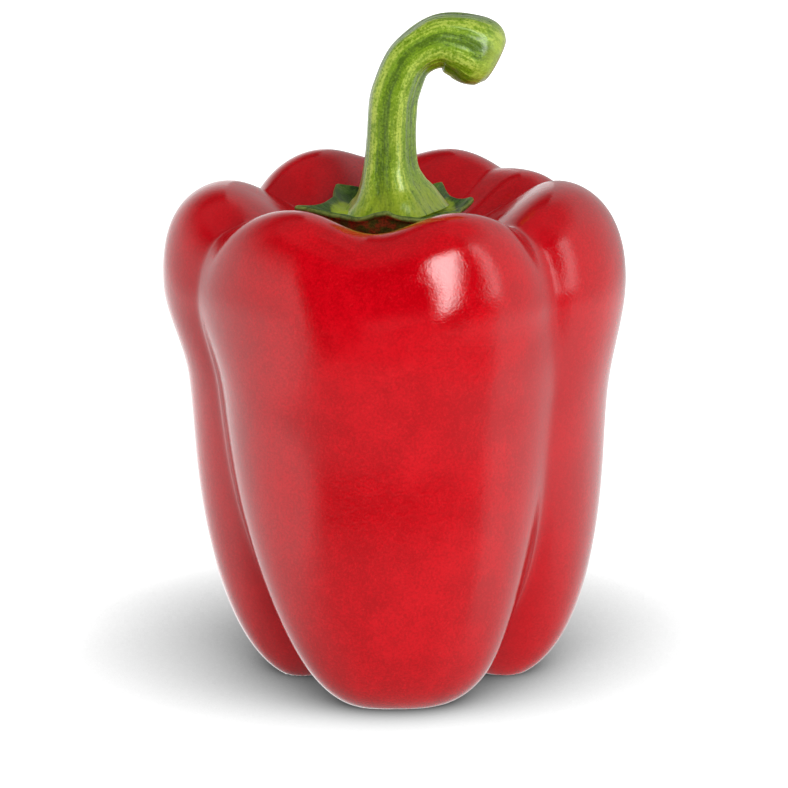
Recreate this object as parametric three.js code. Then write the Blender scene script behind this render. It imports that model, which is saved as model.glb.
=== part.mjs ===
// A red bell pepper standing on its blossom end: a blocky lobed fruit, the star-shaped calyx in
// the pit at its top, and the hooked stem, swollen at its cut end.
//
// Millimetres, +Z up. The origin is on the resting plane, under the middle of the fruit.
// The widest lobe faces -Y. Angles are degrees about +Z from +X, so the front is at 270.

import * as THREE from 'three';

// ---- driving dimensions ------------------------------------------------------------------------

const GAP = 0.4; // clearance between pieces that touch

// The fruit's meridian from the bottom of the pit to the blossom scar, as the control points of a
// spline. `furrow` is how far the skin is drawn in between two lobes at that height.
const PROFILE = [
  { name: 'pit', radius: 0, height: 86.3, furrow: 0 },
  { name: 'pitFloor', radius: 9, height: 86.1, furrow: 0.2 },
  { name: 'pitWall', radius: 18, height: 86.5, furrow: 2 },
  { name: 'shoulder', radius: 29, height: 97.6, furrow: 6.5 },
  { name: 'brow', radius: 42, height: 91.3, furrow: 8 },
  { name: 'belly', radius: 45.2, height: 74.8, furrow: 7.5 },
  { name: 'waist', radius: 40.2, height: 58.3, furrow: 6.5 },
  { name: 'flank', radius: 40.4, height: 39.3, furrow: 7.5 },
  { name: 'thigh', radius: 38.3, height: 19.5, furrow: 9 },
  { name: 'heel', radius: 32.5, height: 3, furrow: 10.5 },
  { name: 'foot', radius: 20.5, height: -4, furrow: 9 },
  { name: 'scarRim', radius: 9, height: 4.5, furrow: 2.5 },
  { name: 'scar', radius: 0, height: 8, furrow: 0 },
];

// Heights at which the lobes and furrows state their own values, in this order.
const LANDMARKS = ['shoulder', 'belly', 'waist', 'foot'];

// Each lobe's crest angle, its reach as a share of the profile, its rise at the shoulder, and how
// full it is on the two sides of its crest: 2 is round, 4 is flat-fronted.
const LOBES = [
  { crest: [262, 262, 263, 268], reach: [0.97, 0.935, 0.98, 1.12], rise: 0.6, full: [3, 3.6] },
  { crest: [354, 354, 352, 344], reach: [1, 1, 1, 0.99], rise: 0, full: [2.3, 2.3] },
  { crest: [34, 34, 36, 40], reach: [0.95, 0.96, 0.97, 1], rise: -1.4, full: [2.3, 2.3] },
  { crest: [96, 96, 96, 96], reach: [0.95, 0.95, 0.95, 1], rise: 2, full: [3.2, 3.2] },
  { crest: [174, 174, 180, 200], reach: [1.04, 1, 0.955, 0.86], rise: -1.2, full: [2.4, 2.4] },
];

// FURROWS[i] lies just before LOBES[i]: its angle, and its depth as a share of the profile's.
const FURROWS = [
  { angle: [203, 203, 204, 227], depth: [0.9, 0.4, 0.55, 1.15] },
  { angle: [320, 319.5, 321.5, 320], depth: [0.9, 0.6, 0.45, 1.1] },
  { angle: [381, 381, 384, 387], depth: [0.5, 0.6, 0.6, 0.6] },
  { angle: [407, 407, 411, 415], depth: [0.35, 0.35, 0.3, 0.3] },
  { angle: [508, 508, 508, 508], depth: [1, 1, 1, 1] },
];
const FURROW_ROUNDING = 0.07; // share of a lobe's half width that is rounded at a furrow's floor

// Shallow dips on the shoulders of the two widest lobes.
const DIPS = [
  { angle: 262, depth: 5, width: 20 },
  { angle: 93, depth: 4, width: 18 },
];
const DIP_FROM = 1.2; // profile positions between which a dip runs
const DIP_TO = 5.4;

const FRUIT_SIDES = 72;
const RINGS_PER_STATION = 3;

// The calyx: a thin saucer on the pit with pointed teeth that curl up.
const CALYX_SIDES = 72;
const CALYX_SCALLOP = 13.2; // radius between two teeth
const CALYX_TOP = 89.6; // height under the stem
const CALYX_GROOVE = 0.5; // dip of the ring between the stem and the rim
const CALYX_RIM_LIFT = 0.5;
const CALYX_RIM_THICKNESS = 0.9;
const CALYX_HUB_RADIUS = 10.8; // the part that fills the pit down to the fruit
const TOOTH_WIDTH = 27; // degrees from a tooth's tip to the middle of the scallop
const TOOTH_SHARPNESS = 1.7;
const TEETH = [
  { angle: 195, reach: 19.2, lift: 0.7 },
  { angle: 125, reach: 19.6, lift: 1 },
  { angle: 60, reach: 18.6, lift: 1 },
  { angle: 10, reach: 14.9, lift: 0.8 },
  { angle: 265, reach: 14.6, lift: 1.8 },
  { angle: 320, reach: 15.5, lift: 0.8 },
];

// The stem's centreline from its base to its cut end, with the radius at each point.
const STEM = [
  { at: [0.1, 0, CALYX_TOP + GAP], radius: 9.2 },
  { at: [-0.1, 0, 91.6], radius: 8.1 },
  { at: [-0.5, 0, 94.3], radius: 6.3 },
  { at: [-0.8, 0, 97.8], radius: 5.1 },
  { at: [-0.7, 0, 102.6], radius: 4.6 },
  { at: [-0.4, 0, 108.8], radius: 4.5 },
  { at: [0.5, 0.2, 112.9], radius: 4.4 },
  { at: [2.4, 0.5, 117.2], radius: 4.3 },
  { at: [5, 0.8, 119.6], radius: 4.4 },
  { at: [8.6, 1.2, 121.1], radius: 5.05 },
  { at: [12.2, 1.6, 120.5], radius: 5.95 },
  { at: [15.3, 1.9, 119.2], radius: 6.6 },
  { at: [17.5, 2, 118.1], radius: 6 },
  { at: [18.8, 2.1, 117.4], radius: 4.5 },
];
const STEM_SIDES = 24;
const STEM_STEPS = 30;
const STEM_RIBS = 5;
const STEM_RIB_HEIGHT = 0.06; // share of the radius
const STEM_RIB_PHASE = 2;

// ---- small helpers -----------------------------------------------------------------------------

const radians = THREE.MathUtils.degToRad;
const mix = THREE.MathUtils.lerp;
const ease = THREE.MathUtils.smoothstep;

/** Where a named profile point lies along the meridian. */
function station(name) {
  return PROFILE.findIndex((point) => point.name === name);
}

/** The signed angle from one direction to another, in -180..180. */
function angleFrom(from, to) {
  return THREE.MathUtils.euclideanModulo(to - from + 180, 360) - 180;
}

/** Closes a stack of rings, listed from the start pole to the end pole, into one solid. */
function ringSolid(startPole, rings, endPole) {
  const sides = rings[0].length;
  const points = [startPole, ...rings.flat(), endPole];
  const last = points.length - 1;
  const id = (ring, side) => 1 + ring * sides + (side % sides);
  const faces = [];
  for (let side = 0; side < sides; side += 1) {
    faces.push(0, id(0, side), id(0, side + 1));
    for (let ring = 0; ring < rings.length - 1; ring += 1) {
      const [a, b] = [id(ring, side), id(ring + 1, side)];
      const [c, d] = [id(ring + 1, side + 1), id(ring, side + 1)];
      faces.push(a, b, c, a, c, d);
    }
    faces.push(last, id(rings.length - 1, side + 1), id(rings.length - 1, side));
  }
  const geometry = new THREE.BufferGeometry().setFromPoints(points);
  geometry.setIndex(faces);
  geometry.computeVertexNormals();
  return geometry;
}

/** The angles of a ring's vertices, in degrees. */
function ringAngles(sides) {
  return Array.from({ length: sides }, (_, side) => (360 * side) / sides);
}

/** A point given by angle, radius and height. */
function polar(angle, radius, height) {
  return new THREE.Vector3(
    radius * Math.cos(radians(angle)),
    radius * Math.sin(radians(angle)),
    height,
  );
}

// ---- fruit -------------------------------------------------------------------------------------

/** The profile at a place along the meridian: a cubic B-spline that meets the axis level. */
function profileAt(place) {
  const span = Math.min(Math.floor(place), PROFILE.length - 2);
  const u = place - span;
  const mirrored = (point) => ({ ...point, radius: -point.radius });
  const padded = [mirrored(PROFILE[1]), ...PROFILE, mirrored(PROFILE[PROFILE.length - 2])];
  const weights = [
    (1 - u) ** 3,
    3 * u ** 3 - 6 * u ** 2 + 4,
    -3 * u ** 3 + 3 * u ** 2 + 3 * u + 1,
    u ** 3,
  ];
  const blend = (key) => weights.reduce((sum, w, i) => sum + w * padded[span + i][key], 0) / 6;
  return { radius: blend('radius'), height: blend('height'), furrow: blend('furrow') };
}

/** The direction in which the skin is drawn in by a furrow, in (radius, height). */
function inwardAt(place) {
  const step = 0.02;
  const before = profileAt(Math.max(place - step, 0));
  const after = profileAt(Math.min(place + step, PROFILE.length - 1));
  const run = new THREE.Vector2(after.radius - before.radius, after.height - before.height);
  run.normalize();
  return new THREE.Vector2(run.y, -run.x);
}

/** A value that is stated at the landmarks, eased between them. */
function atLandmarks(values, place) {
  return LANDMARKS.slice(1).reduce((value, name, i) => {
    const share = ease(place, station(LANDMARKS[i]), station(name));
    return value + (values[i + 1] - values[i]) * share;
  }, values[0]);
}

/** A lobe's crest line, in (radius, height). */
function crestAt(lobe, place, profile) {
  const body =
    ease(place, station('pitFloor'), station('shoulder')) *
    (1 - ease(place, station('foot'), station('scar')));
  const top =
    ease(place, station('pitFloor'), station('shoulder')) *
    (1 - ease(place, station('shoulder') + 0.3, station('belly') + 0.6));
  const reach = 1 + (atLandmarks(lobe.reach, place) - 1) * body;
  return new THREE.Vector2(profile.radius * reach, profile.height + lobe.rise * top);
}

/** How far a point between furrow (0) and crest (1) stands out towards the crest line. */
function fullness(y, power) {
  const floor = FURROW_ROUNDING;
  const rounded = (Math.hypot(y, floor) - floor) / (Math.hypot(1, floor) - floor);
  return 1 - (1 - rounded) ** power;
}

/** The depth of the shoulder dips at an angle and place. */
function dipAt(angle, place) {
  const along = THREE.MathUtils.clamp((place - DIP_FROM) / (DIP_TO - DIP_FROM), 0, 1);
  const window = Math.sin(Math.PI * along) ** 2;
  return DIPS.reduce((sum, dip) => {
    const off = angleFrom(dip.angle, angle) / dip.width;
    return sum + dip.depth * window * Math.exp(-(off ** 2));
  }, 0);
}

/** One point of the skin. The feet are pressed flat where they would pass the resting plane. */
function skinPoint(angle, place) {
  const profile = profileAt(place);
  const inward = inwardAt(place);
  const crests = LOBES.map((lobe) => crestAt(lobe, place, profile));
  const edges = FURROWS.map((furrow) => atLandmarks(furrow.angle, place));
  const count = LOBES.length;
  const wrap = (degrees) => THREE.MathUtils.euclideanModulo(degrees, 360);
  const index = LOBES.findIndex(
    (_, i) => wrap(angle - edges[i]) < wrap(edges[(i + 1) % count] - edges[i]),
  );
  const next = (index + 1) % count;
  const span = wrap(edges[next] - edges[index]);
  const offset = wrap(angle - edges[index]);
  const crestOffset = wrap(atLandmarks(LOBES[index].crest, place) - edges[index]);
  const before = offset < crestOffset;
  const y = before ? offset / crestOffset : (span - offset) / (span - crestOffset);
  const near = before ? index : next;
  const neighbour = crests[(near + count - 1) % count];
  const depth = profile.furrow * atLandmarks(FURROWS[near].depth, place);
  const floor = crests[near].clone().add(neighbour).multiplyScalar(0.5);
  floor.addScaledVector(inward, depth);
  const share = fullness(y, LOBES[index].full[before ? 0 : 1]);
  const skin = floor.lerp(crests[index], share).addScaledVector(inward, dipAt(angle, place));
  return polar(angle, Math.max(skin.x, 0), Math.max(skin.y, 0));
}

/** The height of the pit's skin under a point of the calyx. */
function pitHeight(angle, radius) {
  let [low, high] = [0, station('shoulder')];
  const halvings = 24;
  for (let i = 0; i < halvings; i += 1) {
    const middle = (low + high) / 2;
    const point = skinPoint(angle, middle);
    if (Math.hypot(point.x, point.y) < radius) low = middle;
    else high = middle;
  }
  return skinPoint(angle, low).z;
}

function buildFruit() {
  const ringCount = (PROFILE.length - 1) * RINGS_PER_STATION;
  const rings = [];
  for (let ring = 1; ring < ringCount; ring += 1) {
    const place = ring / RINGS_PER_STATION;
    rings.push(ringAngles(FRUIT_SIDES).map((angle) => skinPoint(angle, place)));
  }
  const bottom = PROFILE.length - 1;
  return ringSolid(skinPoint(0, 0), rings, skinPoint(0, bottom));
}

// ---- calyx -------------------------------------------------------------------------------------

/** The rim's radius and lift at an angle: scallops between pointed teeth. */
function rimAt(angle) {
  const rim = { radius: CALYX_SCALLOP, lift: CALYX_RIM_LIFT };
  for (const tooth of TEETH) {
    const off = Math.abs(angleFrom(tooth.angle, angle)) / TOOTH_WIDTH;
    const share = Math.max(1 - off, 0) ** TOOTH_SHARPNESS;
    rim.radius += (tooth.reach - CALYX_SCALLOP) * share;
    rim.lift += tooth.lift * share;
  }
  return rim;
}

/** The height of the calyx's upper face at a share of the way from the axis to the rim. */
function calyxTop(share, lift) {
  const groove = CALYX_GROOVE * Math.sin(Math.PI * THREE.MathUtils.clamp(share * 2 - 0.9, 0, 1)) ** 2;
  return CALYX_TOP - groove + lift * ease(share, 0.72, 1);
}

/** The height of its under face: on the pit's floor at the hub, a thin edge at the rim. */
function calyxUnder(angle, radius, share, lift) {
  const onPit = pitHeight(angle, radius) + GAP;
  const hanging = calyxTop(share, lift) - CALYX_RIM_THICKNESS;
  const away = ease(radius, CALYX_HUB_RADIUS, CALYX_SCALLOP);
  return Math.max(onPit, mix(onPit, hanging, away));
}

function buildCalyx() {
  const shares = [0.2, 0.4, 0.55, 0.65, 0.75, 0.85, 0.93, 1];
  const angles = ringAngles(CALYX_SIDES);
  const upper = shares.map((share) =>
    angles.map((angle) => {
      const { radius, lift } = rimAt(angle);
      return polar(angle, radius * share, calyxTop(share, lift));
    }),
  );
  const under = shares.toReversed().map((share) =>
    angles.map((angle) => {
      const { radius, lift } = rimAt(angle);
      return polar(angle, radius * share, calyxUnder(angle, radius * share, share, lift));
    }),
  );
  const top = polar(0, 0, CALYX_TOP);
  const bottom = polar(0, 0, calyxUnder(0, 0, 0, 0));
  return ringSolid(top, [...upper, ...under], bottom);
}

// ---- stem --------------------------------------------------------------------------------------

/** One ribbed section of the stem, square to its centreline. */
function stemRing(centre, tangent, radius) {
  const side = new THREE.Vector3(0, 1, 0).addScaledVector(tangent, -tangent.y).normalize();
  const across = side.clone().cross(tangent);
  return ringAngles(STEM_SIDES).map((angle) => {
    const rib = 1 + STEM_RIB_HEIGHT * Math.cos(radians(STEM_RIBS * (angle - STEM_RIB_PHASE)));
    return centre
      .clone()
      .addScaledVector(across, radius * rib * Math.cos(radians(angle)))
      .addScaledVector(side, radius * rib * Math.sin(radians(angle)));
  });
}

function buildStem() {
  const centreline = new THREE.CatmullRomCurve3(
    STEM.map(({ at }) => new THREE.Vector3(...at)),
    false,
    'catmullrom',
  );
  const radii = new THREE.SplineCurve(STEM.map(({ radius }, i) => new THREE.Vector2(i, radius)));
  const rings = [];
  for (let step = STEM_STEPS; step >= 0; step -= 1) {
    const place = step / STEM_STEPS;
    const tangent = step === 0 ? new THREE.Vector3(0, 0, 1) : centreline.getTangent(place);
    rings.push(stemRing(centreline.getPoint(place), tangent, radii.getPoint(place).y));
  }
  return ringSolid(centreline.getPoint(1), rings, centreline.getPoint(0));
}

// ---- the pepper --------------------------------------------------------------------------------

function addPiece(group, name, geometry, color, roughness) {
  const material = new THREE.MeshStandardMaterial({ color, roughness, metalness: 0 });
  const mesh = new THREE.Mesh(geometry, material);
  mesh.name = name;
  group.add(mesh);
}

const pepper = new THREE.Group();
addPiece(pepper, 'fruit', buildFruit(), 0xc8141c, 0.2);
addPiece(pepper, 'calyx', buildCalyx(), 0x5f7a30, 0.5);
addPiece(pepper, 'stem', buildStem(), 0x86a83c, 0.4);

export default pepper;
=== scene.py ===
"""A ripe red bell pepper standing on a pale studio floor.

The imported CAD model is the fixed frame. Three pieces are modelled around it: the lobed fruit, the
star-shaped calyx in the pit at its top, and the hooked stem. Blender's unit is the metre; the sizes
below are written in millimetres and multiplied by MM. Angles are degrees about +Z from +X, so the
front of the pepper, which faces -Y, is at 270.
"""

import logging
import math
from dataclasses import dataclass
from enum import Enum, IntEnum
from typing import Mapping, Sequence

import bpy
import numpy as np
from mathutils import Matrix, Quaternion, Vector


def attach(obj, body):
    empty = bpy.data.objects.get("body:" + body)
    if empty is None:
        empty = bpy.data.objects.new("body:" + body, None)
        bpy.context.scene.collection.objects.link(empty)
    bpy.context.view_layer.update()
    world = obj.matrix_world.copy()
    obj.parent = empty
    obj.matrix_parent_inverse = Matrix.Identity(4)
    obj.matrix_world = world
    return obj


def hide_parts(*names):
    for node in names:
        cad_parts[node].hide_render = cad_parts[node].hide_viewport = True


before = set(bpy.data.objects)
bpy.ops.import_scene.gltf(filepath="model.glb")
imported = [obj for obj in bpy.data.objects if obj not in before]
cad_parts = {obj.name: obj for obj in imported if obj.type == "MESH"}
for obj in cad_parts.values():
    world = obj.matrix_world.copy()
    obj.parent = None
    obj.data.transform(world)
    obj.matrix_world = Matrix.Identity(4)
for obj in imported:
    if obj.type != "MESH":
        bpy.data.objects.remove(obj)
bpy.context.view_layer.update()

MM = 0.001
BODY = "root"
UP = (0.0, 0.0, 1.0)
log = logging.getLogger("pepper")

Colour = tuple[float, float, float]
Span = tuple[float, float]


# ---- shader building ---------------------------------------------------------------------------


class Signal:
    """One output of a node. Python arithmetic on it adds Math nodes."""

    def __init__(self, board: "NodeBoard", socket: bpy.types.NodeSocket) -> None:
        """Wraps a socket.

        Args:
            board: the board that the socket's node is on.
            socket: the output that is wrapped.
        """
        self.board = board
        self.socket = socket

    def __add__(self, other: "float | Signal") -> "Signal":
        """Adds."""
        return self.board.math("ADD", self, other)

    def __radd__(self, other: float) -> "Signal":
        """Adds, with the number first."""
        return self.board.math("ADD", other, self)

    def __sub__(self, other: "float | Signal") -> "Signal":
        """Subtracts."""
        return self.board.math("SUBTRACT", self, other)

    def __rsub__(self, other: float) -> "Signal":
        """Subtracts from a number."""
        return self.board.math("SUBTRACT", other, self)

    def __mul__(self, other: "float | Signal") -> "Signal":
        """Multiplies."""
        return self.board.math("MULTIPLY", self, other)

    def __rmul__(self, other: float) -> "Signal":
        """Multiplies, with the number first."""
        return self.board.math("MULTIPLY", other, self)

    def __pow__(self, power: float) -> "Signal":
        """Raises to a power."""
        return self.board.math("POWER", self, power)


class NodeBoard:
    """Adds nodes to one node tree and links them."""

    def __init__(self, tree: bpy.types.NodeTree) -> None:
        """Starts on an empty tree.

        Args:
            tree: the node tree of a material or a world.
        """
        self.tree = tree
        tree.nodes.clear()

    def node(
        self,
        kind: str,
        settings: Mapping[str, object] | None = None,
        inputs: Mapping[str | int, object] | None = None,
    ) -> bpy.types.Node:
        """Adds one node.

        Args:
            kind: the node's type name.
            settings: properties of the node, set first.
            inputs: the value or the Signal of each named or numbered socket.

        Returns:
            The node.
        """
        node = self.tree.nodes.new(kind)
        for name, value in (settings or {}).items():
            setattr(node, name, value)
        for key, value in (inputs or {}).items():
            socket = node.inputs[key]
            if isinstance(value, Signal):
                self.tree.links.new(value.socket, socket)
            elif isinstance(value, tuple) and len(value) == 3 and socket.type == "RGBA":
                socket.default_value = (*value, 1.0)
            else:
                socket.default_value = value
        return node

    def signal(
        self,
        kind: str,
        output: str | int = 0,
        settings: Mapping[str, object] | None = None,
        inputs: Mapping[str | int, object] | None = None,
    ) -> Signal:
        """Adds a node and gives one of its outputs.

        Args:
            kind: the node's type name.
            output: the output's name or number.
            settings: as for node().
            inputs: as for node().

        Returns:
            The output, ready for arithmetic.
        """
        return Signal(self, self.node(kind, settings, inputs).outputs[output])

    def math(self, operation: str, *values: "float | Signal") -> Signal:
        """Adds a Math node on one to three values."""
        return self.signal("ShaderNodeMath", 0, {"operation": operation}, dict(enumerate(values)))

    def place(self) -> Signal:
        """Gives the object coordinates, in metres in the part's frame."""
        return self.signal("ShaderNodeTexCoord", "Object")

    def attribute(self, name: str, output: str = "Fac") -> Signal:
        """Reads an attribute that the piece's mesh carries.

        Args:
            name: the attribute's name.
            output: "Fac" for a number, "Vector" for three.

        Returns:
            The attribute's value.
        """
        return self.signal("ShaderNodeAttribute", output, {"attribute_name": name})

    def noise(self, vector: Signal, size: float, detail: float = 2.0, rough: float = 0.5) -> Signal:
        """Adds a noise whose features are about a given size.

        Args:
            vector: where the noise is read.
            size: the width of one feature, in the vector's unit.
            detail: the number of finer octaves.
            rough: how strong the finer octaves are.

        Returns:
            Values around 0.5.
        """
        return self.signal(
            "ShaderNodeTexNoise",
            "Fac",
            inputs={"Vector": vector, "Scale": 1 / size, "Detail": detail, "Roughness": rough},
        )

    def between(self, value: Signal, low: float, high: float) -> Signal:
        """Eases a value from 0 at low to 1 at high."""
        return self.signal(
            "ShaderNodeMapRange",
            0,
            {"interpolation_type": "SMOOTHSTEP", "clamp": True},
            {"Value": value, "From Min": low, "From Max": high},
        )

    def mix(self, share: "float | Signal", first: object, second: object) -> Signal:
        """Mixes two colours.

        Args:
            share: 0 gives the first colour and 1 the second.
            first: a colour or a Signal.
            second: a colour or a Signal.

        Returns:
            The mixed colour.
        """
        node = self.node("ShaderNodeMix", {"data_type": "RGBA", "clamp_factor": True})
        colours = [s for s in node.inputs if s.type == "RGBA"]
        for socket, value in zip([node.inputs[0], *colours], [share, first, second]):
            if isinstance(value, Signal):
                self.tree.links.new(value.socket, socket)
            elif isinstance(value, tuple):
                socket.default_value = (*value, 1.0)
            else:
                socket.default_value = value
        return Signal(self, next(s for s in node.outputs if s.type == "RGBA"))

    def bump(self, height: Signal, depth: float, under: Signal | None = None) -> Signal:
        """Turns a height into a normal.

        Args:
            height: values whose rise by 1 is a rise of the surface by depth.
            depth: that rise, in metres.
            under: a normal that this one is laid over.

        Returns:
            The normal.
        """
        inputs = {"Strength": 1.0, "Distance": depth, "Height": height}
        if under is not None:
            inputs["Normal"] = under
        return self.signal("ShaderNodeBump", 0, inputs=inputs)

    def blend(
        self, share: Signal, first: bpy.types.Node, second: bpy.types.Node
    ) -> bpy.types.Node:
        """Mixes two shaders.

        Args:
            share: 0 gives the first shader and 1 the second.
            first: a shader node.
            second: a shader node.

        Returns:
            The Mix Shader node.
        """
        both = self.node("ShaderNodeMixShader", inputs={0: share})
        for number, shader in enumerate((first, second), start=1):
            self.tree.links.new(shader.outputs[0], both.inputs[number])
        return both

    def finish(self, surface: bpy.types.Node, output: str = "ShaderNodeOutputMaterial") -> None:
        """Links a shader to the tree's output."""
        end = self.node(output)
        self.tree.links.new(surface.outputs[0], end.inputs["Surface"])


def new_material(name: str) -> tuple[bpy.types.Material, NodeBoard]:
    """Makes a material with an empty node tree.

    Args:
        name: the material's name.

    Returns:
        The material and the board that its nodes go on.
    """
    material = bpy.data.materials.new(name)
    material.use_nodes = True
    return material, NodeBoard(material.node_tree)


# ---- finishes ----------------------------------------------------------------------------------


@dataclass(frozen=True)
class SkinFinish:
    """The waxy red skin: deep and glossy, finely dimpled and clouded, with painted shade darkening
    the furrows.
    """

    deep: Colour = (0.375, 0.0004, 0.0035)
    bright: Colour = (0.52, 0.0010, 0.0060)
    # furrow is the darker red laid into the furrows as painted shade.
    furrow: Colour = (0.38, 0.001, 0.006)
    speck: Colour = (0.66, 0.020, 0.022)
    roughness: float = 0.11
    cloud: float = 17 * MM
    mottle: float = 4.2 * MM
    dimple: float = 1.3 * MM
    pore: float = 0.45 * MM
    swell_depth: float = 0.035 * MM
    dimple_depth: float = 0.020 * MM
    pore_depth: float = 0.021 * MM
    speck_share: float = 0.22
    furrow_shade_share: float = 0.5
    ior: float = 1.46

    def build(self) -> bpy.types.Material:
        """Makes the material."""
        material, board = new_material("pepper_skin")
        place = board.place()
        clouds = board.between(board.noise(place, self.cloud, 3.0, 0.6), 0.35, 0.68)
        mottles = board.noise(place, self.mottle, 3.0, 0.6)
        dimples = board.noise(place, self.dimple, 2.0, 0.55)
        pores = board.noise(place, self.pore, 2.0, 0.6)
        specks = board.between(board.noise(place, self.pore * 1.5, 1.0), 0.64, 0.80)
        tone = clouds * 0.5 + (mottles - 0.5) * 0.9 + (pores - 0.5) * 3.0 + 0.2
        colour = board.mix(tone, self.deep, self.bright)
        colour = board.mix(specks * self.speck_share, colour, self.speck)
        # Painted shade: the skin is pulled towards the darker furrow colour as it nears a furrow.
        colour = board.mix(board.attribute("furrow") * self.furrow_shade_share, colour, self.furrow)
        roughness = self.roughness + (clouds - 0.5) * 0.06 + (mottles - 0.5) * 0.12
        swells = board.bump(mottles, self.swell_depth)
        dents = board.bump(dimples, self.dimple_depth, swells)
        normal = board.bump(pores, self.pore_depth, dents)
        shader = board.node(
            "ShaderNodeBsdfPrincipled",
            inputs={
                "Base Color": colour,
                "Roughness": roughness,
                "Normal": normal,
                "IOR": self.ior,
            },
        )
        board.finish(shader)
        return material


@dataclass(frozen=True)
class StemFinish:
    """The fibrous stalk: shiny, streaked dark and light green, lighter on its rib crests (partly
    painted highlight) and darker in its grooves (partly painted shade), yellower at its foot and
    knob.

    thread, fibre and streak are widths round a stem of radius 1; the other sizes are in metres.
    """

    dark: Colour = (0.055, 0.110, 0.004)
    green: Colour = (0.140, 0.250, 0.006)
    pale: Colour = (0.400, 0.500, 0.070)
    foot: Colour = (0.300, 0.390, 0.020)
    dry: Colour = (0.240, 0.170, 0.040)
    cut: Colour = (0.300, 0.330, 0.100)
    roughness: float = 0.31
    ior: float = 1.33
    coat: float = 0.4
    coat_roughness: float = 0.20
    thread: float = 0.035
    fibre: float = 0.11
    streak: float = 0.45
    blot: float = 1.5 * MM
    grit: float = 0.45 * MM
    streak_depth: float = 0.35 * MM
    fibre_depth: float = 0.14 * MM
    grit_depth: float = 0.07 * MM

    def build(self) -> bpy.types.Material:
        """Makes the material."""
        material, board = new_material("pepper_stem")
        grain = board.attribute("grain", "Vector")
        place = board.place()
        along = board.attribute("along")
        threads = board.noise(grain, self.thread, 3.0, 0.6)
        fibres = board.noise(grain, self.fibre, 3.0, 0.6)
        streaks = board.noise(grain, self.streak, 2.0, 0.5)
        grit = board.noise(place, self.grit, 2.0, 0.6)
        blots = board.noise(place, self.blot, 3.0, 0.6)
        # The rib term lightens the crests and darkens the grooves: partly the stalk's own
        # streaking, partly painted highlight on the crests and painted shade in the grooves.
        tone = board.attribute("rib") * 0.50 + (streaks - 0.5) * 1.1 + (fibres - 0.5) * 1.2
        tone = tone + (blots - 0.5) * 0.6 + (grit - 0.5) * 1.2
        colour = board.mix(board.between(tone, -0.25, 0.35), self.dark, self.green)
        colour = board.mix(board.between(tone, 0.30, 0.85), colour, self.pale)
        low = board.between(along, 0.25, 0.03) * 0.8 + (grit - 0.5) * 0.5
        colour = board.mix(low * board.between(fibres, 0.30, 0.55), colour, self.foot)
        knob = board.between(along, 0.84, 0.93) * 0.55 + (blots - 0.5) * 0.6
        colour = board.mix(knob * board.between(along, 0.80, 0.88), colour, self.pale)
        cracks = board.between(threads, 0.42, 0.30) * 0.45
        colour = board.mix(cracks, colour, self.dark)
        colour = board.mix(board.attribute("lip") * 0.8, colour, self.dry)
        face = board.mix(board.between(blots, 0.3, 0.7), self.cut, self.dry)
        colour = board.mix(board.attribute("cut"), colour, face)
        dents = board.bump(streaks, self.streak_depth)
        lines = board.bump(fibres + threads * 0.5, self.fibre_depth, dents)
        normal = board.bump(grit, self.grit_depth, lines)
        shader = board.node(
            "ShaderNodeBsdfPrincipled",
            inputs={
                "Base Color": colour,
                "Roughness": self.roughness + (grit - 0.5) * 0.25,
                "Normal": normal,
                "IOR": self.ior,
                "Coat Weight": self.coat,
                "Coat Roughness": self.coat_roughness,
            },
        )
        board.finish(shader)
        return material


@dataclass(frozen=True)
class CalyxFinish:
    """The leafy cup: mottled dark green above, olive brown below, with a thin pale edge."""

    dark: Colour = (0.012, 0.035, 0.005)
    leaf: Colour = (0.060, 0.120, 0.015)
    pale: Colour = (0.260, 0.330, 0.110)
    collar: Colour = (0.290, 0.380, 0.022)
    under: Colour = (0.060, 0.090, 0.014)
    stain: Colour = (0.300, 0.045, 0.022)
    edge: Colour = (0.250, 0.310, 0.070)
    roughness: float = 0.50
    ior: float = 1.30
    mottle: float = 1.3 * MM
    patch: float = 1.7 * MM
    grit: float = 0.4 * MM
    mottle_depth: float = 0.30 * MM
    grit_depth: float = 0.08 * MM

    def build(self) -> bpy.types.Material:
        """Makes the material."""
        material, board = new_material("pepper_calyx")
        place = board.place()
        mottles = board.noise(place, self.mottle, 4.0, 0.65)
        grit = board.noise(place, self.grit, 2.0, 0.6)
        vein = board.attribute("vein")
        tone = (mottles - 0.5) * 1.8 + (grit - 0.5) * 0.7 + vein * 0.55
        colour = board.mix(board.between(tone, -0.35, 0.35), self.dark, self.leaf)
        colour = board.mix(board.between(tone, 0.35, 0.95), colour, self.pale)
        collar = board.attribute("collar") + (mottles - 0.5) * 0.7
        colour = board.mix(board.between(collar, 0.25, 0.75), colour, self.collar)
        patches = board.between(board.noise(place, self.patch, 4.0, 0.65), 0.44, 0.58)
        below = board.mix(patches * 0.8, self.under, self.stain)
        below = board.mix(board.between(grit, 0.40, 0.62) * 0.7, below, self.dark)
        colour = board.mix(board.attribute("under"), colour, below)
        rim = board.attribute("edge") * board.between(mottles, 0.25, 0.55)
        colour = board.mix(rim * 0.6, colour, self.edge)
        dents = board.bump(mottles, self.mottle_depth)
        normal = board.bump(grit, self.grit_depth, dents)
        shader = board.node(
            "ShaderNodeBsdfPrincipled",
            inputs={
                "Base Color": colour,
                "Roughness": self.roughness + (mottles - 0.5) * 0.3,
                "Normal": normal,
                "IOR": self.ior,
            },
        )
        board.finish(shader)
        return material


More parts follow.
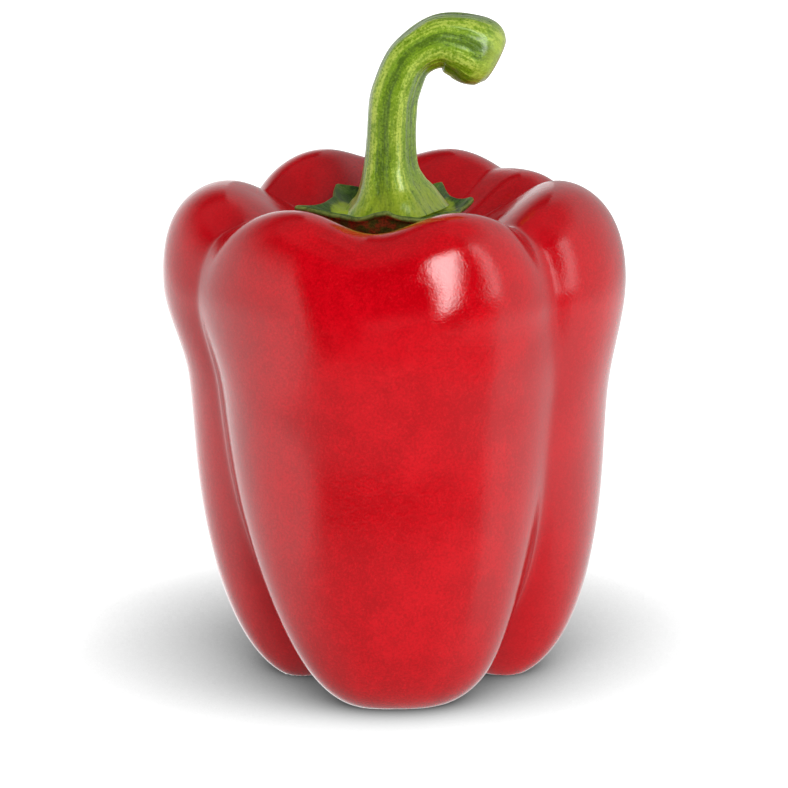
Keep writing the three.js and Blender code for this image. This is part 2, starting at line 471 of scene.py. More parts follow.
@dataclass(frozen=True)
class FloorFinish:
    """A matt studio floor, white with a soft shadow where something stands close to it.

    seen is its level to the eye, bounced is how much light it sends back to the pepper, and lean is
    the direction in which the shadow looks for what stands there.
    """

    seen: float = 1.45
    bounced: float = 0.85
    shadow_reach: float = 58 * MM
    shadow_depth: float = 2.1
    shadow_samples: int = 16
    lean: tuple[float, float, float] = (0.10, -0.5, 0.86)

    def build(self) -> bpy.types.Material:
        """Makes the material."""
        material, board = new_material("studio_floor")
        towards = board.signal(
            "ShaderNodeCombineXYZ", inputs=dict(zip(("X", "Y", "Z"), self.lean))
        )
        openness = board.signal(
            "ShaderNodeAmbientOcclusion",
            "AO",
            {"samples": self.shadow_samples},
            {"Distance": self.shadow_reach, "Normal": towards},
        )
        level = openness**self.shadow_depth * self.seen
        glow = board.node("ShaderNodeEmission", inputs={"Color": level})
        bounce = (self.bounced, self.bounced, self.bounced)
        matt = board.node("ShaderNodeBsdfDiffuse", inputs={"Color": bounce})
        eye = board.signal("ShaderNodeLightPath", "Is Camera Ray")
        board.finish(board.blend(eye, matt, glow))
        return material


# ---- modelling by hand -------------------------------------------------------------------------


def deselect_all() -> None:
    """Leaves nothing selected and nothing active."""
    if bpy.context.object and bpy.context.object.mode != "OBJECT":
        bpy.ops.object.mode_set(mode="OBJECT")
    bpy.ops.object.select_all(action="DESELECT")
    bpy.context.view_layer.objects.active = None


def make_active(piece: bpy.types.Object) -> None:
    """Selects one object only."""
    deselect_all()
    piece.select_set(True)
    bpy.context.view_layer.objects.active = piece


def lathe(name: str, outline: np.ndarray, steps: int) -> bpy.types.Object:
    """Draws an outline point by point from the axis back to the axis, and spins it about Z.

    Args:
        name: the new piece's name.
        outline: radius and height of each point, in metres; the first and last are on the axis.
        steps: the number of points round the piece.

    Returns:
        A closed piece. Its vertices carry the number of their outline point as "row".
    """
    deselect_all()
    start = (outline[0][0], 0.0, outline[0][1])
    bpy.ops.mesh.primitive_plane_add(size=MM, location=start)
    piece = bpy.context.object
    piece.name = name
    bpy.ops.object.transform_apply(location=True, rotation=False, scale=False)
    bpy.ops.object.mode_set(mode="EDIT")
    bpy.ops.mesh.select_all(action="SELECT")
    bpy.ops.mesh.merge(type="CENTER")
    for step in np.diff(outline, axis=0):
        move = {"value": (float(step[0]), 0.0, float(step[1]))}
        bpy.ops.mesh.extrude_region_move(TRANSFORM_OT_translate=move)
    bpy.ops.object.mode_set(mode="OBJECT")
    rows = piece.data.attributes.new("row", "INT", "POINT")
    rows.data.foreach_set("value", np.arange(len(outline), dtype=np.int32))
    bpy.ops.object.mode_set(mode="EDIT")
    bpy.ops.mesh.select_all(action="SELECT")
    bpy.ops.mesh.spin(steps=steps, angle=2 * math.pi, center=(0, 0, 0), axis=UP)
    bpy.ops.mesh.select_all(action="SELECT")
    bpy.ops.mesh.remove_doubles(threshold=0.001 * MM)
    bpy.ops.mesh.normals_make_consistent(inside=False)
    bpy.ops.object.mode_set(mode="OBJECT")
    return piece


def positions(piece: bpy.types.Object) -> np.ndarray:
    """Gives a piece's vertices, one row of x, y, z each."""
    flat = np.empty(len(piece.data.vertices) * 3)
    piece.data.vertices.foreach_get("co", flat)
    return flat.reshape(-1, 3)


def move_vertices(piece: bpy.types.Object, places: np.ndarray) -> None:
    """Puts a piece's vertices at new places."""
    piece.data.vertices.foreach_set("co", np.ascontiguousarray(places, dtype=np.float32).ravel())
    piece.data.update()


def rows_of(piece: bpy.types.Object) -> np.ndarray:
    """Gives the outline point of each vertex of a spun piece."""
    rows = np.empty(len(piece.data.vertices), dtype=np.int32)
    piece.data.attributes["row"].data.foreach_get("value", rows)
    return rows


def paint(piece: bpy.types.Object, name: str, values: np.ndarray) -> None:
    """Stores a number or a vector on each vertex for the material to read.

    Args:
        piece: the piece.
        name: the attribute's name.
        values: one number, or one row of three, for each vertex.
    """
    vector = values.ndim == 2
    kind = "FLOAT_VECTOR" if vector else "FLOAT"
    layer = piece.data.attributes.new(name, kind, "POINT")
    layer.data.foreach_set(
        "vector" if vector else "value", np.ascontiguousarray(values, dtype=np.float32).ravel()
    )


def face_outwards(piece: bpy.types.Object) -> None:
    """Makes every face of a closed piece point out and shades it smooth."""
    make_active(piece)
    bpy.ops.object.mode_set(mode="EDIT")
    bpy.ops.mesh.select_all(action="SELECT")
    bpy.ops.mesh.normals_make_consistent(inside=False)
    bpy.ops.object.mode_set(mode="OBJECT")
    bpy.ops.object.shade_smooth()


def deliver(piece: bpy.types.Object, node: str, material: bpy.types.Material) -> None:
    """Dresses a finished piece and puts it in the frame in place of its CAD node.

    Args:
        piece: the piece, with its place in its mesh.
        node: the CAD node that it stands for.
        material: its finish.
    """
    piece.data.materials.clear()
    piece.data.materials.append(material)
    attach(piece, BODY)
    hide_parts(node)
    log.info("%s stands for %s, with %d faces", piece.name, node, len(piece.data.polygons))


# ---- numbers -----------------------------------------------------------------------------------


def ease(low: float, high: float, value: np.ndarray) -> np.ndarray:
    """Eases from 0 at low to 1 at high."""
    share = np.clip((value - low) / (high - low), 0, 1)
    return share * share * (3 - 2 * share)


def spline(points: np.ndarray, at: np.ndarray) -> np.ndarray:
    """Follows a uniform cubic B-spline whose first column mirrors at both ends.

    Args:
        points: the control points, one row each; the first column is a radius.
        at: places along it, where 1 is one control point further.

    Returns:
        One row for each place.
    """
    mirror = np.ones(points.shape[1])
    mirror[0] = -1
    padded = np.vstack([points[1] * mirror, points, points[-2] * mirror])
    span = np.clip(np.floor(at).astype(int), 0, len(points) - 2)
    u = (at - span)[:, None]
    return (
        (1 - u) ** 3 * padded[span]
        + (3 * u**3 - 6 * u**2 + 4) * padded[span + 1]
        + (-3 * u**3 + 3 * u**2 + 3 * u + 1) * padded[span + 2]
        + u**3 * padded[span + 3]
    ) / 6


def through(points: np.ndarray, at: np.ndarray) -> np.ndarray:
    """Follows a Catmull-Rom spline through points, with straight run-outs at both ends.

    Args:
        points: the points, one row each.
        at: places along it, where 1 is one point further.

    Returns:
        One row for each place.
    """
    padded = np.vstack([2 * points[0] - points[1], points, 2 * points[-1] - points[-2]])
    span = np.clip(np.floor(at).astype(int), 0, len(points) - 2)
    u = (at - span)[:, None]
    a, b, c, d = (padded[span + i] for i in range(4))
    return 0.5 * (
        2 * b + (c - a) * u + (2 * a - 5 * b + 4 * c - d) * u**2 + (3 * b - a - 3 * c + d) * u**3
    )


def angle_off(angle: np.ndarray, centre: np.ndarray | float) -> np.ndarray:
    """Gives how far an angle is from another, in -180 to 180 degrees."""
    return (angle - centre + 180) % 360 - 180


# ---- fruit -------------------------------------------------------------------------------------


class Station(IntEnum):
    """The named points of the fruit's meridian, from the pit over the shoulder to the scar."""

    PIT = 0
    PIT_FLOOR = 1
    PIT_WALL = 2
    SHOULDER = 3
    BROW = 4
    BELLY = 5
    WAIST = 6
    FLANK = 7
    THIGH = 8
    HEEL = 9
    FOOT = 10
    SCAR_RIM = 11
    SCAR = 12


LANDMARKS = (Station.SHOULDER, Station.BELLY, Station.WAIST, Station.FOOT)


@dataclass(frozen=True)
class MeridianPoint:
    """A control point of the meridian: radius, height, and depth of a furrow there, in mm."""

    radius: float
    height: float
    furrow: float


@dataclass(frozen=True)
class Lobe:
    """One lobe. Values in fours are at the landmarks."""

    name: str
    crest: tuple[float, float, float, float]
    reach: tuple[float, float, float, float]
    rise: float
    full: tuple[float, float]


@dataclass(frozen=True)
class Furrow:
    """The furrow just before the lobe of the same number. Values in fours are at the landmarks."""

    name: str
    angle: tuple[float, float, float, float]
    depth: tuple[float, float, float, float]


@dataclass(frozen=True)
class Crease:
    """A groove that runs down part of the skin, fading out at both ends.

    Its angle goes from the first value to the second between its two places on the meridian.
    depth is in mm and width in degrees.
    """

    name: str
    angle: tuple[float, float]
    span: tuple[float, float]
    depth: float
    width: float


@dataclass
class Fruit:
    """The lobed red body, spun from its meridian and then pushed into lobes and furrows."""

    sides: int = 320
    rows: int = 190
    meridian: tuple[MeridianPoint, ...] = (
        MeridianPoint(0, 86.3, 0),
        MeridianPoint(9, 86.1, 0.2),
        MeridianPoint(18, 86.5, 2),
        MeridianPoint(29, 97.6, 6.5),
        MeridianPoint(42, 91.3, 8),
        MeridianPoint(45.2, 74.8, 7.5),
        MeridianPoint(40.2, 58.3, 6.5),
        MeridianPoint(40.4, 39.3, 7.5),
        MeridianPoint(38.3, 19.5, 9),
        MeridianPoint(32.5, 3, 10.5),
        MeridianPoint(20.5, -4, 9),
        MeridianPoint(9, 4.5, 2.5),
        MeridianPoint(0, 8, 0),
    )
    lobes: tuple[Lobe, ...] = (
        Lobe("front", (262, 262, 263, 268), (0.97, 0.935, 0.98, 1.12), 0.6, (3.0, 3.6)),
        Lobe("right", (354, 354, 352, 344), (1, 1, 1, 0.99), 0, (2.3, 2.3)),
        Lobe("back_right", (34, 34, 36, 40), (0.95, 0.96, 0.97, 1), -1.4, (2.3, 2.3)),
        Lobe("back", (96, 96, 96, 96), (0.95, 0.95, 0.95, 1), 2, (3.2, 3.2)),
        Lobe("left", (174, 174, 180, 200), (1.04, 1, 0.955, 0.86), -1.2, (2.4, 2.4)),
    )
    furrows: tuple[Furrow, ...] = (
        Furrow("left_front", (203, 203, 204, 227), (0.9, 0.4, 0.55, 1.15)),
        Furrow("front_right", (320, 319.5, 321.5, 320), (0.9, 0.6, 0.45, 1.1)),
        Furrow("right_back", (381, 381, 384, 387), (0.5, 0.6, 0.6, 0.6)),
        Furrow("back_split", (407, 407, 411, 415), (0.35, 0.35, 0.3, 0.3)),
        Furrow("back_left", (508, 508, 508, 508), (1, 1, 1, 1)),
    )
    creases: tuple[Crease, ...] = (
        Crease("front_dip", (262, 262), (1.2, 5.4), 5.0, 20),
        Crease("back_dip", (93, 93), (1.2, 5.4), 4.0, 18),
        Crease("left_seam", (212, 207), (2.7, 5.0), 0.22, 3.6),
        Crease("right_seam", (313, 317), (2.4, 4.9), 0.25, 3.6),
        Crease("front_groove", (293, 290), (2.8, 6.6), 0.3, 8),
        Crease("back_seam", (149, 149), (1.6, 4.6), 0.8, 2.0),
    )
    furrow_rounding: float = 0.06
    path_samples: int = 2000
    slope_step: float = 0.02
    halvings: int = 20

    def along(self) -> np.ndarray:
        """Gives the meridian places of the outline's points, evenly spaced along the skin."""
        fine = np.linspace(Station.PIT, Station.SCAR, self.path_samples)
        path = spline(self._controls(), fine)[:, :2]
        run = np.concatenate([[0], np.cumsum(np.linalg.norm(np.diff(path, axis=0), axis=1))])
        return np.interp(np.linspace(0, run[-1], self.rows), run, fine)

    def _controls(self) -> np.ndarray:
        """Gives the meridian's control points as an array."""
        return np.array([(p.radius, p.height, p.furrow) for p in self.meridian], float)

    @staticmethod
    def _at_landmarks(values: Sequence[float], place: np.ndarray) -> np.ndarray:
        """Eases a value between the landmarks.

        Args:
            values: the value at each landmark.
            place: places along the meridian.

        Returns:
            The value at each place.
        """
        result = np.full(place.shape, float(values[0]))
        for (low, high), (before, after) in zip(
            zip(LANDMARKS, LANDMARKS[1:]), zip(values, values[1:])
        ):
            result += (after - before) * ease(low, high, place)
        return result

    def _inward(self, place: np.ndarray) -> np.ndarray:
        """Gives the unit vector, in radius and height, that points into the flesh."""
        step = self.slope_step
        after = spline(self._controls(), np.minimum(place + step, Station.SCAR))
        before = spline(self._controls(), np.maximum(place - step, Station.PIT))
        run = (after - before)[:, :2]
        run /= np.maximum(np.linalg.norm(run, axis=1, keepdims=True), 1e-9)
        return np.stack([run[:, 1], -run[:, 0]], axis=1)

    def _crest(self, lobe: Lobe, place: np.ndarray, profile: np.ndarray) -> np.ndarray:
        """Gives a lobe's crest line in radius and height."""
        opening = ease(Station.PIT_FLOOR, Station.SHOULDER, place)
        body = opening * (1 - ease(Station.FOOT, Station.SCAR, place))
        top = opening * (1 - ease(Station.SHOULDER + 0.3, Station.BELLY + 0.6, place))
        reach = 1 + (self._at_landmarks(lobe.reach, place) - 1) * body
        return np.stack([profile[:, 0] * reach, profile[:, 1] + lobe.rise * top], axis=1)

    def _fullness(self, share: np.ndarray, power: np.ndarray) -> np.ndarray:
        """Gives how far the skin stands out between a furrow, at 0, and a crest, at 1."""
        floor = self.furrow_rounding
        rounded = (np.hypot(share, floor) - floor) / (math.hypot(1, floor) - floor)
        return 1 - (1 - np.clip(rounded, 0, 1)) ** power

    def _crease_depth(self, angle: np.ndarray, place: np.ndarray) -> np.ndarray:
        """Gives how far the creases draw the skin in, in mm."""
        depth = np.zeros(angle.shape)
        for crease in self.creases:
            share = np.clip((place - crease.span[0]) / (crease.span[1] - crease.span[0]), 0, 1)
            line = crease.angle[0] + (crease.angle[1] - crease.angle[0]) * share
            across = angle_off(angle, line) / crease.width
            depth += crease.depth * np.sin(np.pi * share) ** 2 * np.exp(-(across**2))
        return depth

    def skin(self, angle: np.ndarray, place: np.ndarray) -> tuple[np.ndarray, np.ndarray]:
        """Gives points of the skin.

        Args:
            angle: the angle of each point.
            place: its place along the meridian.

        Returns:
            The points, in metres, and how near each is to a furrow, from 0 to 1.
        """
        profile = spline(self._controls(), place)
        inward = self._inward(place)
        crests = [self._crest(lobe, place, profile) for lobe in self.lobes]
        edges = [self._at_landmarks(furrow.angle, place) for furrow in self.furrows]
        floors = [
            (crests[i - 1] + crests[i]) / 2
            + inward * (profile[:, 2] * self._at_landmarks(furrow.depth, place))[:, None]
            for i, furrow in enumerate(self.furrows)
        ]
        result = np.zeros((len(angle), 2))
        near = np.zeros(len(angle))
        for i, lobe in enumerate(self.lobes):
            after = (i + 1) % len(self.lobes)
            span = (edges[after] - edges[i]) % 360
            offset = (angle - edges[i]) % 360
            crest = (self._at_landmarks(lobe.crest, place) - edges[i]) % 360
            rising = offset < crest
            share = np.where(rising, offset / crest, (span - offset) / (span - crest))
            out = self._fullness(share, np.where(rising, *lobe.full))[:, None]
            floor = np.where(rising[:, None], floors[i], floors[after])
            mine = offset < span
            result[mine] = (crests[i] * out + floor * (1 - out))[mine]
            near[mine] = (1 - out[:, 0])[mine]
        result += inward * self._crease_depth(angle, place)[:, None]
        radius = np.maximum(result[:, 0], 0) * MM
        turn = np.radians(angle)
        height = np.maximum(result[:, 1], 0) * MM
        near *= ease(Station.PIT_WALL, Station.SHOULDER, place)
        return np.stack([radius * np.cos(turn), radius * np.sin(turn), height], axis=1), near

    def build(self) -> bpy.types.Object:
        """Spins the meridian and pushes it into lobes.

        Returns:
            The fruit's mesh.
        """
        places = self.along()
        outline = spline(self._controls(), places)[:, :2] * MM
        outline[[0, -1], 0] = 0
        piece = lathe("fruit_skin", outline, self.sides)
        spun = positions(piece)
        angle = np.degrees(np.arctan2(spun[:, 1], spun[:, 0]))
        points, near = self.skin(angle, places[rows_of(piece)])
        move_vertices(piece, points)
        # The skin's material paints shade into the furrows by this nearness.
        paint(piece, "furrow", near)
        face_outwards(piece)
        return piece

    def pit_height(self, angle: np.ndarray, radius: np.ndarray) -> np.ndarray:
        """Gives the height of the pit's skin at angles and radii, in metres."""
        low = np.full(angle.shape, float(Station.PIT))
        high = np.full(angle.shape, float(Station.SHOULDER))
        for _ in range(self.halvings):
            middle = (low + high) / 2
            points, _ = self.skin(angle, middle)
            inside = np.hypot(points[:, 0], points[:, 1]) < radius
            low, high = np.where(inside, middle, low), np.where(inside, high, middle)
        return self.skin(angle, low)[0][:, 2]


# ---- calyx -------------------------------------------------------------------------------------


@dataclass(frozen=True)
class Tooth:
    """A pointed tooth of the calyx: its angle, and the reach and lift of its tip in mm."""

    angle: float
    reach: float
    lift: float


@dataclass
class Calyx:
    """The green saucer in the pit, scalloped between teeth that curl up.

    Sizes are in mm; tooth_width and vein_width are in degrees.
    """

    sides: int = 240
    seat: float = 89.6
    scallop: float = 13.2
    tooth_width: float = 27.0
    tooth_sharpness: float = 1.7
    rim_lift: float = 0.5
    rim_thickness: float = 0.9
    groove: float = 1.0
    lip: float = 0.22
    crumple: float = 0.16
    depth: float = 3.0
    vein_width: float = 3.5
    hub: float = 10.8
    gap: float = 0.4
    teeth: tuple[Tooth, ...] = (
        Tooth(195, 19.2, 0.7),
        Tooth(125, 19.6, 1.0),
        Tooth(60, 18.6, 1.0),
        Tooth(10, 14.9, 0.8),
        Tooth(265, 14.6, 1.8),
        Tooth(320, 15.5, 0.8),
    )

    def rim(self, angle: np.ndarray) -> tuple[np.ndarray, np.ndarray]:
        """Gives the rim's radius and lift, in mm, at angles."""
        turn = np.radians(angle)
        radius = self.scallop + 0.22 * np.sin(5 * turn + 1.1) + 0.13 * np.sin(11 * turn + 0.4)
        lift = self.rim_lift + 0.16 * np.sin(7 * turn + 2.0) + 0.10 * np.sin(13 * turn)
        for tooth in self.teeth:
            off = np.abs(angle_off(angle, tooth.angle)) / self.tooth_width
            share = np.clip(1 - off, 0, 1) ** self.tooth_sharpness
            radius += (tooth.reach - self.scallop) * share
            lift += tooth.lift * share
        return radius, lift

    def veins(self, angle: np.ndarray) -> np.ndarray:
        """Gives how close angles are to the midrib of a tooth, from 0 to 1."""
        offs = [angle_off(angle, tooth.angle) / self.vein_width for tooth in self.teeth]
        return np.max([np.exp(-(off**2)) for off in offs], axis=0)

    def build(self, fruit: Fruit) -> bpy.types.Object:
        """Spins a thin saucer and pulls its rim out into teeth.

        Args:
            fruit: the fruit whose pit it sits in.

        Returns:
            The calyx's mesh.
        """
        upper = np.concatenate([np.linspace(0, 0.9, 30), np.linspace(0.915, 1, 8)])
        lip = np.array([1.008, 1.012, 1.008])
        shares = np.concatenate([upper, lip, upper[::-1]])
        outline = np.stack([shares * self.scallop, np.full(len(shares), self.seat)], axis=1)
        outline[len(upper) :, 1] -= np.linspace(0.2, self.depth, len(outline) - len(upper))
        piece = lathe("calyx_cup", outline * MM, self.sides)
        rows = rows_of(piece)
        spun = positions(piece)
        angle = np.degrees(np.arctan2(spun[:, 1], spun[:, 0]))
        turn = np.radians(angle)
        share = shares[rows]
        radius, lift = self.rim(angle)
        reach = radius * share
        vein = self.veins(angle)
        ring = np.sin(np.pi * np.clip(share * 1.9 - 0.9, 0, 1)) ** 2
        outer = ease(0.70, 1.0, share)
        crumple = np.sin(9 * turn + 14 * share) * np.sin(4 * turn - 19 * share + 1.0)
        top = self.seat + lift * outer - self.groove * ring * (1 - 0.35 * vein)
        top += self.crumple * crumple * ease(0.6, 0.8, share) * (1 - ease(0.93, 1.0, share))
        top += self.lip * np.exp(-(((share - 0.965) / 0.03) ** 2))
        floor = fruit.pit_height(angle, reach * MM) / MM + self.gap
        away = ease(self.hub, self.scallop, reach)
        edge = np.interp(rows, len(upper) - 1 + np.arange(5), [0, 0.22, 0.5, 0.78, 1])
        hanging = top - self.rim_thickness * edge
        under = floor + (hanging - floor) * away
        beneath = rows >= len(upper) + len(lip)
        height = np.where(beneath, np.maximum(floor, under), hanging)
        points = np.stack([reach * np.cos(turn), reach * np.sin(turn), height], axis=1) * MM
        move_vertices(piece, points)
        paint(piece, "under", ease(len(upper), len(upper) + 3, rows))
        paint(piece, "edge", np.exp(-(((rows - len(upper) + 0.2) / 1.1) ** 2)))
        paint(piece, "vein", vein * outer)
        paint(piece, "collar", 1 - ease(10.0, 13.6, reach))
        face_outwards(piece)
        return piece


# ---- stem --------------------------------------------------------------------------------------


@dataclass(frozen=True)
class StemPoint:
    """A point of the stem's centreline and the stem's radius there, in mm."""

    x: float
    y: float
    z: float
    radius: float


@dataclass
class Stem:
    """The stalk: flared at its foot, ribbed, bent over to the right, swollen at its cut end.

    rib_height, fine_rib and knot are shares of the stem's radius; rib_phase is in degrees.
    """

    sides: int = 128
    rings: int = 150
    ribs: int = 5
    rib_height: float = 0.06
    rib_phase: float = 2.0
    fine_rib: float = 0.008
    knot: float = 0.012
    slope_step: float = 0.02
    points: tuple[StemPoint, ...] = (
        StemPoint(0.1, 0, 89.2, 9.8),
        StemPoint(-0.1, 0, 91.6, 8.1),
        StemPoint(-0.5, 0, 94.3, 6.3),
        StemPoint(-0.8, 0, 97.8, 5.1),
        StemPoint(-0.7, 0, 102.6, 4.6),
        StemPoint(-0.4, 0, 108.8, 4.5),
        StemPoint(0.5, 0.2, 112.9, 4.4),
        StemPoint(2.4, 0.5, 117.2, 4.3),
        StemPoint(5, 0.8, 119.6, 4.4),
        StemPoint(8.6, 1.2, 121.1, 5.05),
        StemPoint(12.2, 1.6, 120.5, 5.95),
        StemPoint(15.3, 1.9, 119.2, 6.6),
        StemPoint(17.5, 2, 118.1, 6),
        StemPoint(18.8, 2.1, 117.4, 4.5),
    )

    def build(self) -> bpy.types.Object:
        """Raises a straight stalk ring by ring, then bends it along its centreline.

        Returns:
            The stem's mesh.
        """
        route = np.array([(p.x, p.y, p.z, p.radius) for p in self.points], float)
        last = len(route) - 1
        place = np.linspace(0, last, self.rings)
        radii = through(route, place)[:, 3]
        cap = np.array([0.97, 0.88, 0.74, 0.58, 0.4, 0.2, 0.0])
        outline = np.concatenate(
            [
                [[0.0, 0.0]],
                np.stack([radii, place], axis=1),
                np.stack([radii[-1] * cap, np.full(len(cap), last + 0.02)], axis=1),
            ]
        )
        piece = lathe("stem_stalk", outline * MM, self.sides)
        rows = rows_of(piece)
        spun = positions(piece) / MM
        turn = np.arctan2(spun[:, 1], spun[:, 0])
        radius = np.hypot(spun[:, 0], spun[:, 1])
        at = np.minimum(spun[:, 2], last)
        centre = through(route, at)[:, :3]
        ahead = through(route, np.minimum(at + self.slope_step, last))[:, :3]
        behind = through(route, np.maximum(at - self.slope_step, 0))[:, :3]
        tangent = ahead - behind
        tangent /= np.linalg.norm(tangent, axis=1, keepdims=True)
        side = np.array([0.0, 1.0, 0.0]) - tangent * tangent[:, 1:2]
        side /= np.linalg.norm(side, axis=1, keepdims=True)
        across = np.cross(side, tangent)
        rib = np.cos(self.ribs * (turn - math.radians(self.rib_phase)))
        share = at / last
        fade = 1 - ease(0.74, 0.88, share) * 0.85
        fine = np.cos(17 * turn + 9 * share) + 0.7 * np.cos(29 * turn - 14 * share)
        knots = np.sin(4 * turn + 21 * share) * np.sin(38 * share + 2 * turn)
        relief = self.rib_height * rib + self.fine_rib * fine * ease(0.1, 0.3, share)
        wide = radius * (1 + (relief + self.knot * knots) * fade)
        points = (
            centre
            + across * (wide * np.cos(turn))[:, None]
            + side * (wide * np.sin(turn))[:, None]
        )
        move_vertices(piece, points * MM)
        grain = np.stack([np.cos(turn), np.sin(turn), share * 1.2], axis=1)
        paint(piece, "grain", grain)
        paint(piece, "along", share)
        # rib tells the material where the crests are; it paints them lighter and the grooves
        # darker, partly as painted highlight and shade.
        paint(piece, "rib", rib * 0.5 + 0.5)
        is_cut = rows > self.rings
        paint(piece, "cut", is_cut.astype(float))
        paint(piece, "lip", ease(last - 0.35, last - 0.05, spun[:, 2]) * (1 - is_cut))
        face_outwards(piece)
        return piece


# ---- studio ------------------------------------------------------------------------------------


class Outline(Enum):
    """The outlines that a softbox comes in."""

    RECTANGLE = "RECTANGLE"
    ELLIPSE = "ELLIPSE"


@dataclass(frozen=True)
class Softbox:
    """A flat studio light. brightness is what white paper held against it would show."""

    name: str
    at: tuple[float, float, float]
    aim: tuple[float, float, float]
    size: tuple[float, float]
    brightness: float
    outline: Outline = Outline.RECTANGLE
    roll: float = 0.0


@dataclass(frozen=True)
class Reflections:
    """What the glossy skin mirrors: a soft key above the camera, side panels and a pale table.

    Directions are in degrees: turn is 0 towards the camera and positive to its right, and height is
    0 at the horizon. Each Span is where something eases in or out.
    """

    key: float = 14.5
    key_top: Span = (-2.0, 37.0)
    key_bottom: Span = (25.0, 35.0)
    key_heights: Span = (-7.0, 50.0)
    key_left_edge: Span = (-7.0, 7.0)
    key_right_edge: Span = (-8.0, 9.0)
    key_lower_edge: float = 9.0
    key_upper_edge: Span = (-9.0, 4.0)
    wing: float = 3.0
    wing_in: Span = (48.0, 60.0)
    wing_out: Span = (60.0, 72.0)
    left: float = 1.3
    left_start: float = 38.0
    left_edge: float = 9.0
    left_low_edge: float = 45.0
    left_widening: Span = (-4.0, -34.0)
    left_fade: Span = (4.0, 46.0)
    left_loss: float = 0.95
    right: float = 1.05
    right_in: Span = (51.0, 70.0)
    right_fade: Span = (42.0, 66.0)
    right_loss: float = 0.85
    sides_above: Span = (-52.0, -6.0)
    back: float = 1.25
    back_in: Span = (115.0, 165.0)
    back_right: float = 0.5
    table: float = 0.42
    table_below: Span = (7.0, 18.0)
    table_gain: float = 0.5
    gain_turns: Span = (20.0, 60.0)
    gain_heights: Span = (-80.0, -40.0)
    sky: float = 0.15
    sky_above: Span = (48.0, 62.0)

    def level(self, board: NodeBoard) -> Signal:
        """Gives the brightness seen in each direction.

        Args:
            board: the world's board.

        Returns:
            The brightness.
        """
        direction = board.signal("ShaderNodeTexCoord", "Generated")
        parts = board.node("ShaderNodeSeparateXYZ", inputs={"Vector": direction})
        x, y, z = (Signal(board, parts.outputs[i]) for i in range(3))
        turn = board.math("ARCTAN2", x, y * -1) * math.degrees(1)
        height = board.math("ARCSINE", z) * math.degrees(1)
        low, high = self.key_heights
        share = board.between(height, low, high)
        start = self.key_bottom[0] + share * (self.key_top[0] - self.key_bottom[0])
        stop = self.key_bottom[1] + share * (self.key_top[1] - self.key_bottom[1])
        band = board.between(height, low, low + self.key_lower_edge)
        fade_low, fade_high = self.key_upper_edge
        band = band * (1 - board.between(height, high + fade_low, high + fade_high))
        key = board.between(turn - start, *self.key_left_edge)
        key = key * board.between(stop - turn, *self.key_right_edge) * band
        wing = board.between(turn, *self.wing_in) * (1 - board.between(turn, *self.wing_out)) * band
        below = board.between(height * -1, *self.table_below) * self.table
        edge = self.left_edge + board.between(height, *self.left_widening) * self.left_low_edge
        left = board.between(board.math("DIVIDE", turn * -1 - self.left_start, edge), 0, 1)
        left = left * (1 - board.between(height, *self.left_fade) * self.left_loss)
        right_fade = board.between(height, *self.right_fade) * self.right_loss
        right = board.between(turn, *self.right_in) * (1 - right_fade)
        aside = board.math("ABSOLUTE", turn)
        behind = board.between(aside, *self.back_in)
        sides = (left * self.left + right * self.right) * (1 - behind)
        sides = sides + (left + right * self.back_right) * behind * self.back
        sides = sides * board.between(height, *self.sides_above)
        gain = board.between(aside, *self.gain_turns) * board.between(height, *self.gain_heights)
        sky = board.between(height, *self.sky_above) * self.sky
        below = below * (1 + gain * self.table_gain)
        return key * self.key + wing * self.wing + sides + below + sky


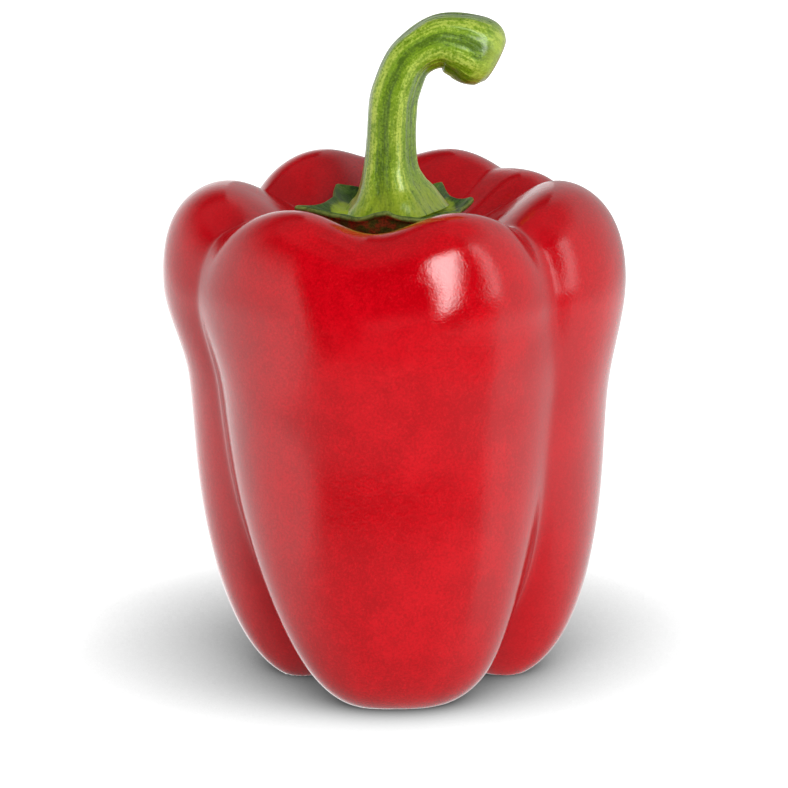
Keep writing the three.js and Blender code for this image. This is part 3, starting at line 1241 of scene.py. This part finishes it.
@dataclass
class Studio:
    """The pale floor, the soft lights, the white surroundings and the camera."""

    camera_at: tuple[float, float, float] = (0.0, -0.700, 0.2363)
    camera_aim: tuple[float, float, float] = (0.0, 0.0, 0.0533)
    lens: float = 173.15
    sensor: float = 36.0
    floor_size: float = 6.0
    ambient: float = 0.28
    softboxes: tuple[Softbox, ...] = (
        Softbox(
            "key_upper", (0.20, -0.70, 0.58), (0, 0, 0.06), (0.50, 0.52), 3.4, Outline.ELLIPSE, 20
        ),
        Softbox(
            "key_lower", (0.37, -0.79, 0.28), (0, 0, 0.06), (0.22, 0.66), 4.7, Outline.ELLIPSE, 16
        ),
        Softbox(
            "side_strip", (0.67, -0.42, 0.48), (0, 0, 0.06), (0.30, 0.60), 1.0, Outline.ELLIPSE
        ),
        Softbox("top_left", (-0.55, 0.25, 0.60), (0, 0, 0.06), (0.50, 0.50), 3.0),
        Softbox("low_fill", (0.08, -0.85, 0.04), (0, 0, 0.03), (0.60, 0.22), 9.0),
        Softbox("left_panel", (-0.60, -0.15, 0.08), (0, -0.15, 0.08), (1.0, 0.80), 0.12),
        Softbox("right_panel", (0.60, -0.16, 0.13), (0, -0.16, 0.13), (0.8, 0.96), 0.25),
    )

    def build_floor(self) -> bpy.types.Object:
        """Lays the floor, which glossy rays don't see."""
        deselect_all()
        bpy.ops.mesh.primitive_plane_add(size=self.floor_size, location=(0, 0, 0))
        floor = bpy.context.object
        floor.name = "studio_floor"
        floor.data.materials.append(FloorFinish().build())
        floor.visible_glossy = False
        return floor

    def build_lights(self) -> None:
        """Sets up the softboxes."""
        for box in self.softboxes:
            light = bpy.data.lights.new(box.name, "AREA")
            light.shape = box.outline.value
            light.size, light.size_y = box.size
            light.energy = box.brightness * math.pi * box.size[0] * box.size[1]
            lamp = bpy.data.objects.new(box.name, light)
            bpy.context.scene.collection.objects.link(lamp)
            lamp.location = box.at
            look = (Vector(box.aim) - Vector(box.at)).to_track_quat("-Z", "Y")
            lamp.rotation_euler = (look @ Quaternion(UP, math.radians(box.roll))).to_euler()
            lamp.visible_camera = False
            lamp.visible_glossy = False

    def build_surroundings(self) -> None:
        """Makes the world white to the eye, even for soft light, and a studio in reflections."""
        world = bpy.data.worlds.new("white_cove")
        bpy.context.scene.world = world
        world.use_nodes = True
        board = NodeBoard(world.node_tree)
        mirrored = Reflections().level(board)
        glossy = board.signal("ShaderNodeLightPath", "Is Glossy Ray")
        eye = board.signal("ShaderNodeLightPath", "Is Camera Ray")
        strength = glossy * mirrored + eye + (1 - glossy) * (1 - eye) * self.ambient
        light = board.node("ShaderNodeBackground", {}, {"Color": (1, 1, 1), "Strength": strength})
        board.finish(light, "ShaderNodeOutputWorld")

    def build_camera(self) -> None:
        """Places the camera and makes it the scene's."""
        data = bpy.data.cameras.new("camera")
        data.lens = self.lens
        data.sensor_width = self.sensor
        camera = bpy.data.objects.new("camera", data)
        bpy.context.scene.collection.objects.link(camera)
        camera.location = self.camera_at
        look = Vector(self.camera_aim) - Vector(self.camera_at)
        camera.rotation_euler = look.to_track_quat("-Z", "Y").to_euler()
        bpy.context.scene.camera = camera

    def build(self) -> None:
        """Sets the whole stage."""
        self.build_camera()
        self.build_floor()
        self.build_lights()
        self.build_surroundings()
        bpy.context.scene.view_settings.view_transform = "Standard"
        bpy.context.scene.view_settings.look = "None"


# ---- the pepper --------------------------------------------------------------------------------


def main() -> None:
    """Builds the pepper and its stage."""
    logging.basicConfig(level=logging.INFO, format="%(message)s")
    Studio().build()
    fruit = Fruit()
    deliver(fruit.build(), "fruit", SkinFinish().build())
    deliver(Calyx().build(fruit), "calyx", CalyxFinish().build())
    deliver(Stem().build(), "stem", StemFinish().build())


if __name__ == "__main__":
    main()
